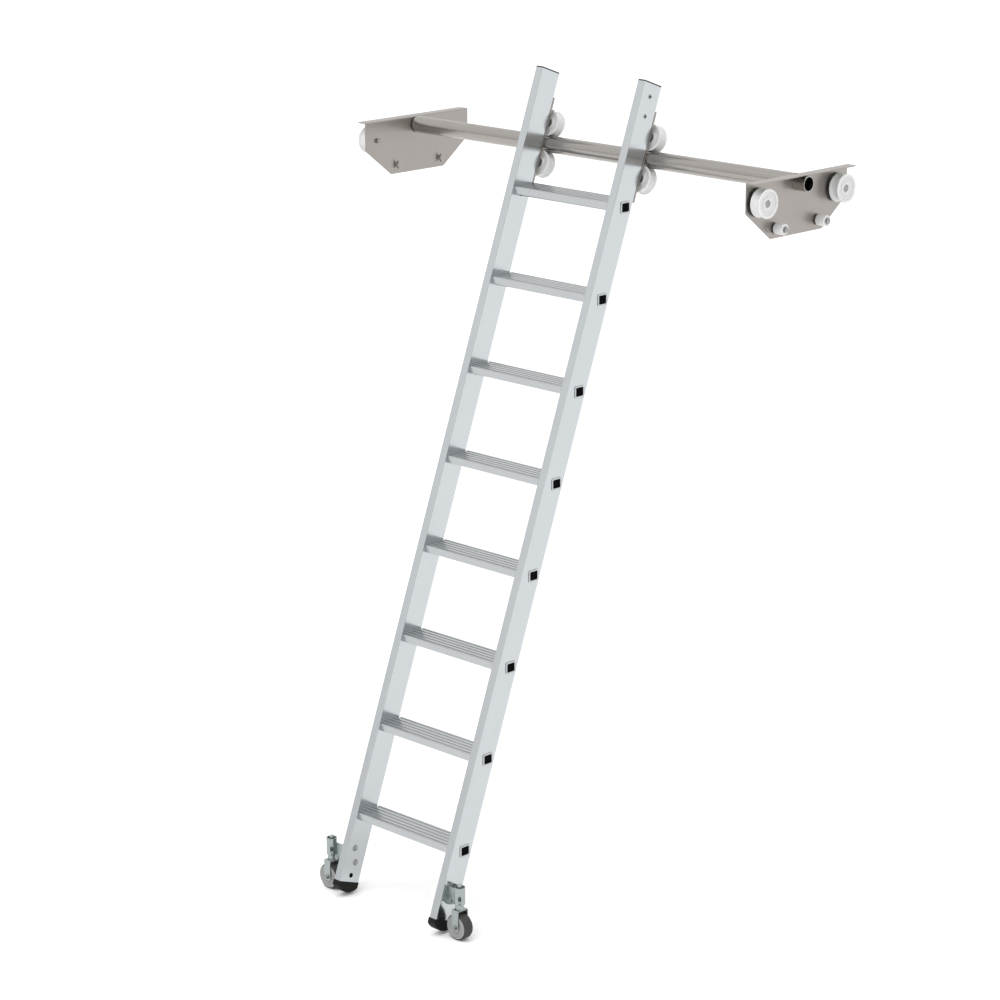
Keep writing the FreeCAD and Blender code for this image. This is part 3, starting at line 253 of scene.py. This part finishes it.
MATERIALS = {
    "stile": stile_material(),
    "step": step_material(),
    "plate": plate_material(),
    "tube": tube_material(),
    "zinc": zinc_material(),
    "bright": bright_steel_material(),
    "dark_steel": dark_steel_material(),
    "white": white_plastic_material(),
    "spacer": simple_moulded("spacer_plastic", (0.05, 0.05, 0.052), 0.45),
    "plug": simple_moulded("plug_plastic", (0.002, 0.002, 0.0025), 0.6, shine=0.02),
    "cap": simple_moulded("cap_plastic", (0.03, 0.031, 0.033), 0.5, shine=0.3),
    "rubber": simple_moulded("foot_rubber", (0.008, 0.008, 0.008), 0.6, depth=0.00008, shine=0.12),
    "tyre": simple_moulded("tyre_rubber", (0.046, 0.044, 0.043), 0.6, depth=0.00006, shine=0.2),
    "hub": simple_moulded("hub_plastic", (0.27, 0.27, 0.27), 0.45, shine=0.35),
}


def paint(piece, key):
    piece.data.materials.clear()
    piece.data.materials.append(MATERIALS[key])


# ---------------------------------------------------------------- mesh helpers

# edges sharper than these, in degrees, stay sharp in the shading
CREASE = 35
CREASE_OF_SOFTENED = 40
CREASE_OF_TURNED = 25
# edges sharper than this are rounded
BEVELLED_FROM = math.radians(30)
# half the angle at a corner that needs no rounding
NEARLY_STRAIGHT = math.radians(88)
# how much of a side one corner's rounding may take
CORNER_SHARE = 0.48
# a hexagon's round crown over its flats, and the slope of its chamfer
CROWN_SHARE = 0.95
CHAMFER_SLOPE = math.tan(math.radians(28))
# the lead-in of a nut's bore, over the bore's radius
BORE_LEAD = 0.12
# a thread's depth over its pitch
THREAD_DEPTH = 0.55
RINGS_PER_TURN = 4


def new_object(name, bm):
    """Makes an object of a bmesh, which is used up."""
    mesh = bpy.data.meshes.new(name)
    bm.to_mesh(mesh)
    bm.free()
    made = bpy.data.objects.new(name, mesh)
    bpy.context.scene.collection.objects.link(made)
    return made


def new_piece(node, ending, bm, key):
    """A piece that stands for a CAD node, on the node's body and in its material slot."""
    piece = new_object(node + ending, bm)
    paint(piece, key)
    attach(piece, body_of_node(node))
    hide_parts(node)
    return piece


def smooth(piece, angle=CREASE):
    """Smooth shading, except over edges sharper than the angle in degrees."""
    piece.data.shade_smooth()
    piece.data.set_sharp_from_angle(angle=math.radians(angle))
    return piece


def body_of_node(node):
    for body, nodes in frame["record"]["behaviour"]["bodies"].items():
        if node in nodes:
            return body
    raise ValueError(node)


def softened(node, key, width, segments=2):
    """A copy of a CAD node whose sharp edges are rounded by width. It replaces the node."""
    source = frame["nodes"][node].data
    bm = bmesh.new()
    points = [bm.verts.new(v.co) for v in source.vertices]
    for face in source.polygons:
        corners = [points[i] for i in face.vertices]
        if len(set(corners)) == len(corners) and not bm.faces.get(corners):
            bm.faces.new(corners)
    bmesh.ops.remove_doubles(bm, verts=bm.verts, dist=WELD)
    bmesh.ops.dissolve_limit(bm, angle_limit=FLAT, verts=bm.verts, edges=bm.edges)
    piece = new_piece(node, "_finished", tidy_normals(bm), key)
    bevel = piece.modifiers.new("edges", "BEVEL")
    bevel.width = width
    bevel.segments = segments
    bevel.limit_method = "ANGLE"
    bevel.angle_limit = BEVELLED_FROM
    bevel.use_clamp_overlap = True
    apply_modifiers(piece)
    smooth(piece, CREASE_OF_SOFTENED)
    weighted = piece.modifiers.new("normals", "WEIGHTED_NORMAL")
    weighted.keep_sharp = True
    apply_modifiers(piece)
    return piece


def apply_modifiers(piece):
    """Turns the piece's modifiers into mesh."""
    graph = bpy.context.evaluated_depsgraph_get()
    mesh = bpy.data.meshes.new_from_object(piece.evaluated_get(graph))
    piece.modifiers.clear()
    old = piece.data
    piece.data = mesh
    bpy.data.meshes.remove(old)


def round_outline(corners, steps=4):
    """Rounds a closed outline, given as corners of (x, y, radius)."""
    points = [Vector(corner[:2]) for corner in corners]
    result = []
    for i, here in enumerate(points):
        size = corners[i][2]
        if size <= 0:
            result.append(here)
            continue
        before = points[i - 1] - here
        after = points[(i + 1) % len(points)] - here
        half = before.angle(after) / 2
        if half > NEARLY_STRAIGHT:
            result.append(here)
            continue
        longest = CORNER_SHARE * min(before.length, after.length)
        reach = min(size / math.tan(half), longest)
        start = here + before.normalized() * reach
        end = here + after.normalized() * reach
        for step in range(steps + 1):
            t = step / steps
            result.append(start * (1 - t) ** 2 + here * 2 * t * (1 - t) + end * t ** 2)
    return result


def frame_of(axis, centre):
    """A matrix whose Z is axis and whose origin is centre."""
    rotation = Z.rotation_difference(Vector(axis)).to_matrix().to_4x4()
    return Matrix.Translation(centre) @ rotation


def add_lathe(bm, outline, matrix, segments):
    """Turns a closed outline of (radius, height) points, in metres, round the matrix's Z."""
    rings = []
    for radius, height in outline:
        ring = []
        for i in range(segments):
            angle = 2 * math.pi * i / segments
            point = Vector((radius * math.cos(angle), radius * math.sin(angle), height))
            ring.append(bm.verts.new(matrix @ point))
        rings.append(ring)
    for i, ring in enumerate(rings):
        following = rings[(i + 1) % len(rings)]
        for k in range(segments):
            after = (k + 1) % segments
            bm.faces.new((ring[k], ring[after], following[after], following[k]))
    bmesh.ops.remove_doubles(bm, verts=bm.verts, dist=LATHE_WELD)


def add_turned(bm, outline, matrix, segments=32):
    """Turns an open outline that starts and ends on the axis, closed there by fans."""
    first = bm.verts.new(matrix @ Vector((0, 0, outline[0][1])))
    last = bm.verts.new(matrix @ Vector((0, 0, outline[-1][1])))
    rings = []
    for radius, height in outline[1:-1]:
        rings.append([bm.verts.new(matrix @ Vector((
            radius * math.cos(2 * math.pi * i / segments),
            radius * math.sin(2 * math.pi * i / segments), height))) for i in range(segments)])
    for k in range(segments):
        after = (k + 1) % segments
        bm.faces.new((first, rings[0][after], rings[0][k]))
        bm.faces.new((last, rings[-1][k], rings[-1][after]))
        for i in range(len(rings) - 1):
            bm.faces.new((rings[i][k], rings[i][after], rings[i + 1][after], rings[i + 1][k]))


def add_hex(bm, across, height, matrix, bore=0.0, segments=48):
    """A hexagon head or nut with chamfered corners, from height 0 up."""
    flat = across / 2
    crown = flat * CROWN_SHARE
    lead = bore * BORE_LEAD
    profile = []
    for i in range(segments):
        angle = 2 * math.pi * i / segments
        turn = (angle + math.pi / 6) % (math.pi / 3) - math.pi / 6
        profile.append((angle, flat / math.cos(turn)))

    def ring(radius_of, height_of):
        return [bm.verts.new(matrix @ Vector((radius_of(r) * math.cos(a), radius_of(r) * math.sin(a),
                                              height_of(r)))) for a, r in profile]

    def drop(r):
        return (r - crown) * CHAMFER_SLOPE

    levels = [
        ring(lambda r: crown, lambda r: 0.0),
        ring(lambda r: r, drop),
        ring(lambda r: r, lambda r: height - drop(r)),
        ring(lambda r: crown, lambda r: height)]
    if bore:
        levels += [
            ring(lambda r: bore + lead, lambda r: height),
            ring(lambda r: bore, lambda r: height - lead),
            ring(lambda r: bore, lambda r: 0.0)]
    for i in range(len(levels) - 1):
        for k in range(segments):
            after = (k + 1) % segments
            bm.faces.new((levels[i][k], levels[i][after], levels[i + 1][after], levels[i + 1][k]))
    if bore:
        for k in range(segments):
            after = (k + 1) % segments
            bm.faces.new((levels[-1][k], levels[-1][after], levels[0][after], levels[0][k]))
    else:
        bm.faces.new(levels[-1])
        bm.faces.new(list(reversed(levels[0])))


def add_thread(bm, radius, pitch, length, matrix, segments=20):
    """A threaded shank from height 0 down to minus length, with a pointed end."""
    depth = THREAD_DEPTH * pitch
    deepest = 1.2 * depth
    count = int(length / pitch * RINGS_PER_TURN)
    rings = []
    for j in range(count + 1):
        height = -length * j / count
        ring = []
        for i in range(segments):
            phase = (height / pitch - i / segments) % 1.0
            near_end = min(1.0, max(0.0, (height + length) / pitch))
            cut = depth * (1 - abs(2 * phase - 1)) + (1 - near_end) * depth
            r = radius - min(cut, deepest)
            angle = 2 * math.pi * i / segments
            point = Vector((r * math.cos(angle), r * math.sin(angle), height))
            ring.append(bm.verts.new(matrix @ point))
        rings.append(ring)
    for j in range(count):
        for i in range(segments):
            after = (i + 1) % segments
            bm.faces.new((rings[j][i], rings[j + 1][i], rings[j + 1][after], rings[j][after]))
    bm.faces.new(rings[0])
    bm.faces.new(list(reversed(rings[-1])))


def tidy_normals(bm):
    bmesh.ops.recalc_face_normals(bm, faces=bm.faces)
    return bm


def middle(node):
    low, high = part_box(node)
    return (low + high) / 2


# ---------------------------------------------------------------- carried-over nodes

KEPT = {
    "stile_left": "stile", "stile_right": "stile", "traverse_tube": "tube", "tube_stubs": "tube",
    "roller_axle_spacers": "spacer", "rail_roller_spacers": "spacer",
    "roller_axle_inserts": "bright",
}
FASTENERS = {
    "rivet_nuts": "bright", "foot_pins": "plug", "roller_plate_screws": "bright",
    "wing_nuts": "dark_steel", "bracket_bolts": "bright",
    "castor_axle_left": "bright", "castor_axle_right": "bright",
}
# how far edges are rounded
SMALL_EDGE = 0.35 * MM
THIN_EDGE = 0.4 * MM
SHEET_EDGE = 0.5 * MM
CAP_EDGE = 0.8 * MM
PLUG_EDGE = 1.2 * MM
FOOT_EDGE = 2.2 * MM


def finish_nodes():
    """New materials for the CAD meshes that stay, and rounded edges for the others."""
    for node, key in KEPT.items():
        paint(frame["nodes"][node], key)
    for node, key in FASTENERS.items():
        softened(node, key, SMALL_EDGE)
    for step in range(1, STEP_COUNT + 1):
        softened(f"step_{step}", "step", SHEET_EDGE)
    softened("rung_plugs", "plug", PLUG_EDGE, segments=3)
    softened("stile_end_caps", "cap", CAP_EDGE)
    for side in SIDES:
        softened("foot_" + side, "rubber", FOOT_EDGE, segments=3)
        softened("end_plate_" + side, "plate", SHEET_EDGE)
        softened("roller_plate_" + side, "plate", SHEET_EDGE)
        softened("castor_bracket_" + side, "zinc", SHEET_EDGE)
        softened("castor_housing_" + side, "zinc", THIN_EDGE)
        softened("castor_fork_" + side, "zinc", SHEET_EDGE)
        softened("castor_stem_" + side, "zinc", THIN_EDGE)


def make_springs():
    """Copies of the CAD springs, smooth-shaded, in place of the nodes."""
    for side in SIDES:
        node = "castor_spring_" + side
        bm = bmesh.new()
        bm.from_mesh(frame["nodes"][node].data)
        bmesh.ops.remove_doubles(bm, verts=bm.verts, dist=WELD)
        piece = smooth(new_piece(node, "_coiled", bm, "bright"))
        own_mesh(piece)


# ---------------------------------------------------------------- rollers and wheels

# a groove's radius, and the distance of its bottom from the roller's axis, in millimetres
TUBE_GROOVE = (25.3, 34.2)
RAIL_GROOVE = (15.5, 34.0)


def roller_outline(groove_radius, groove_bottom, radius=40, width=32):
    """A grooved roller's outline: groove, rims, dished faces, hub and bore."""
    half = width / 2
    edge = math.sqrt(max(0.0, groove_radius ** 2 - (groove_bottom + groove_radius - radius) ** 2))
    edge = min(edge, half - 2.5)
    groove = []
    steps = 12
    reach = math.asin(min(1.0, edge / groove_radius))
    for i in range(steps + 1):
        angle = reach * (2 * i / steps - 1)
        groove.append((groove_bottom + groove_radius * (1 - math.cos(angle)),
                       groove_radius * math.sin(angle), 0))
    face = [
        (radius, edge + 0.8, 1.0), (radius, half, 1.6), (33.5, half, 1.4), (32, half - 4.2, 1.8),
        (19.5, half - 5.4, 1.8), (17, half - 2.8, 1.0), (11.2, half - 2.8, 0.6),
        (11.2, half - 9, 0.4), (4.2, half - 9, 0.3)]
    back = [(r, -z, c) for r, z, c in reversed(face)]
    back[0:3] = [(4.2, -half + 3, 0.3), (16.5, -half + 3, 1.0)]
    return groove + face + back


def guide_roller_outline(radius=15.5, width=30):
    """A small plain roller's outline, with a counterbore on its outer face."""
    half = width / 2
    return [(4.1, -half, 0.3), (radius, -half, 1.2), (radius, half, 1.2), (10.5, half, 0.5),
            (10, half - 0.8, 0.4), (4.1, half - 0.8, 0.3)]


def make_moulded(node, outline, axis, key, segments=96):
    """A turned piece in place of a node. The outline is (radius, height, corner) in mm."""
    bm = bmesh.new()
    points = [(r * MM, z * MM) for r, z in round_outline(outline)]
    add_lathe(bm, points, frame_of(axis, middle(node)), segments)
    smooth(new_piece(node, "_moulded", tidy_normals(bm), key))


def make_rollers():
    """Grooved rollers on the tube and the rails, and plain guide rollers below the rails."""
    for side in SIDES:
        for level in ("upper", "lower"):
            make_moulded(f"ladder_roller_{level}_{side}", roller_outline(*TUBE_GROOVE),
                         ACROSS_STILE, "white")
        for end in ENDS:
            outward = X * SIDES[side]
            make_moulded(f"rail_roller_{side}_{end}", roller_outline(*RAIL_GROOVE), outward,
                         "white")
            make_moulded(f"guide_roller_{side}_{end}", guide_roller_outline(), outward, "white", 64)


def make_wheels(width=33.4):
    """The castors' tyres and hubs."""
    half = width / 2
    tyre = [(33.9, -half + 0.6, 0.5), (35.9, -half + 0.9, 0.8), (38, -half + 5.0, 2.8),
            (38, half - 5.0, 2.8), (35.9, half - 0.9, 0.8), (33.9, half - 0.6, 0.5),
            (33.2, half - 2.5, 0.4), (33.2, -half + 2.5, 0.4)]
    face = [(33.1, half - 2.6, 0.4), (33.7, half - 0.2, 0.6), (29.5, half, 0.8),
            (28.5, half - 1.6, 0.5), (25.5, half - 1.6, 0.5), (24.5, half - 0.4, 0.6),
            (21.5, half - 0.4, 0.8), (19.5, half - 3.0, 0.8), (12, half - 2.2, 0.8),
            (10.5, half + 0.4, 0.6), (4.2, half + 0.4, 0.3)]
    hub = face + [(r, -z, corner) for r, z, corner in reversed(face)]
    for side in SIDES:
        make_moulded("castor_tyre_" + side, tyre, Y, "tyre")
        make_moulded("castor_hub_" + side, hub, Y, "hub")


# ---------------------------------------------------------------- bolts and nuts

SHANK = 4 * MM
PITCH = 1.25 * MM
THREADED = 13 * MM
HEX = 13 * MM
HEAD = 5.3 * MM
NUT = 6.5 * MM
NUT_SLACK = 0.1 * MM
GUIDE_HEX = 14 * MM
GUIDE_HEAD = 5.5 * MM
AXLE_LENGTH = 44 * MM
RAIL_BOLT_LENGTH = 40.5 * MM
GUIDE_BOLT_LENGTH = 48.3 * MM
# how far a bolt's head seats beyond the middle of its roller
SEAT = 5.1 * MM
GUIDE_SEAT = 15.3 * MM
PLATE_INNER_FACE = 737 * MM
PLATE_OUTER_FACE = 740 * MM
COLLAR_RADIUS = 7 * MM
COLLAR_LENGTH = 3.7 * MM


def add_bolt(bm, seat, axis, length, across=HEX, head=HEAD):
    """A hexagon bolt: head beyond the seat along the axis, shank the other way."""
    place = frame_of(axis, seat)
    plain = length - THREADED
    add_hex(bm, across, head, place)
    add_turned(bm, [(0, 0), (SHANK, 0), (SHANK, -plain), (0, -plain)], place)
    add_thread(bm, SHANK, PITCH, THREADED, place @ Matrix.Translation((0, 0, -plain)))


def finish_fasteners(bm, node, key):
    smooth(new_piece(node, "_turned", tidy_normals(bm), key), CREASE_OF_TURNED)


def make_bolts():
    """The rollers' bolts and nuts, with chamfered hexagons and threaded ends."""
    axles, rails, guides, nuts = (bmesh.new() for _ in range(4))
    for side, sign in SIDES.items():
        outward = X * sign
        for level in ("upper", "lower"):
            seat = middle(f"ladder_roller_{level}_{side}") + ACROSS_STILE * SEAT
            add_bolt(axles, seat, ACROSS_STILE, AXLE_LENGTH)
        for end in ENDS:
            centre = middle(f"rail_roller_{side}_{end}")
            add_bolt(rails, centre + outward * SEAT, outward, RAIL_BOLT_LENGTH)
            nut_seat = Vector((sign * PLATE_INNER_FACE, centre.y, centre.z))
            add_hex(nuts, HEX, NUT, frame_of(-outward, nut_seat), bore=SHANK + NUT_SLACK)
            seat = middle(f"guide_roller_{side}_{end}") + outward * GUIDE_SEAT
            add_bolt(guides, seat, outward, GUIDE_BOLT_LENGTH, GUIDE_HEX, GUIDE_HEAD)
            collar = frame_of(outward, Vector((sign * PLATE_OUTER_FACE, seat.y, seat.z)))
            add_turned(guides, [(0, 0), (COLLAR_RADIUS, 0), (COLLAR_RADIUS, COLLAR_LENGTH),
                                (0, COLLAR_LENGTH)], collar)
    finish_fasteners(axles, "roller_axle_bolts", "bright")
    finish_fasteners(rails, "rail_roller_bolts", "bright")
    finish_fasteners(guides, "guide_roller_bolts", "bright")
    finish_fasteners(nuts, "rail_roller_nuts", "dark_steel")


# ---------------------------------------------------------------- studio

def make_floor():
    """A pale paper floor at the foot of the ladder."""
    bm = bmesh.new()
    reach = 60.0
    level = cad_box[0][2]
    corners = [(-reach, -reach), (reach, -reach), (reach, reach), (-reach, reach)]
    bm.faces.new([bm.verts.new((x, y, level)) for x, y in corners])
    floor = new_object("floor", bm)
    material, shader = new_material("floor_paper", (0.9, 0.9, 0.9), 0.9)
    mottle = noise(material, object_space(material), 3.0)
    join(material, tint(material, mottle, (0.89, 0.89, 0.89), (0.91, 0.91, 0.91)),
         shader.inputs["Base Color"])
    floor.data.materials.append(material)


def make_world():
    """An even pale surround, a little darker towards the horizon."""
    world = bpy.data.worlds.new("studio")
    bpy.context.scene.world = world
    world.use_nodes = True
    nodes, links = world.node_tree.nodes, world.node_tree.links
    place = nodes.new("ShaderNodeTexCoord")
    split = nodes.new("ShaderNodeSeparateXYZ")
    ramp = nodes.new("ShaderNodeValToRGB")
    bands = [(0.0, 0.60), (0.09, 0.80), (0.22, 0.95), (0.75, 1.0)]
    while len(ramp.color_ramp.elements) < len(bands):
        ramp.color_ramp.elements.new(0.5)
    for element, (height, level) in zip(ramp.color_ramp.elements, bands):
        element.position = height
        element.color = (level, level, level, 1)
    links.new(place.outputs["Generated"], split.inputs["Vector"])
    links.new(split.outputs["Z"], ramp.inputs["Fac"])
    links.new(ramp.outputs["Color"], nodes["Background"].inputs["Color"])
    nodes["Background"].inputs["Strength"].default_value = 1.16


def add_sun(name, direction, strength, softness):
    light = bpy.data.lights.new(name, "SUN")
    light.energy = strength
    light.angle = math.radians(softness)
    lamp = bpy.data.objects.new(name, light)
    lamp.rotation_mode = "QUATERNION"
    lamp.rotation_quaternion = Vector(direction).to_track_quat("-Z", "Y")
    bpy.context.scene.collection.objects.link(lamp)


def make_camera():
    """The photograph's view: from the climber's right, well above the tube."""
    camera = bpy.data.cameras.new("camera")
    camera.lens = 110.66
    camera.sensor_width = 36
    camera.clip_end = 200
    view = bpy.data.objects.new("camera", camera)
    view.location = (5.927, -6.443, 1.428)
    view.rotation_euler = (math.radians(90 - 15.74), 0, math.radians(44.418))
    bpy.context.scene.collection.objects.link(view)
    bpy.context.scene.camera = view


finish_nodes()
make_springs()
make_rollers()
make_wheels()
make_bolts()
make_floor()
make_world()
add_sun("key", direction=(0.05, 0.55, -1.0), strength=1.3, softness=50)
make_camera()
bpy.context.scene.view_settings.view_transform = "Standard"
bpy.context.scene.view_settings.look = "None"
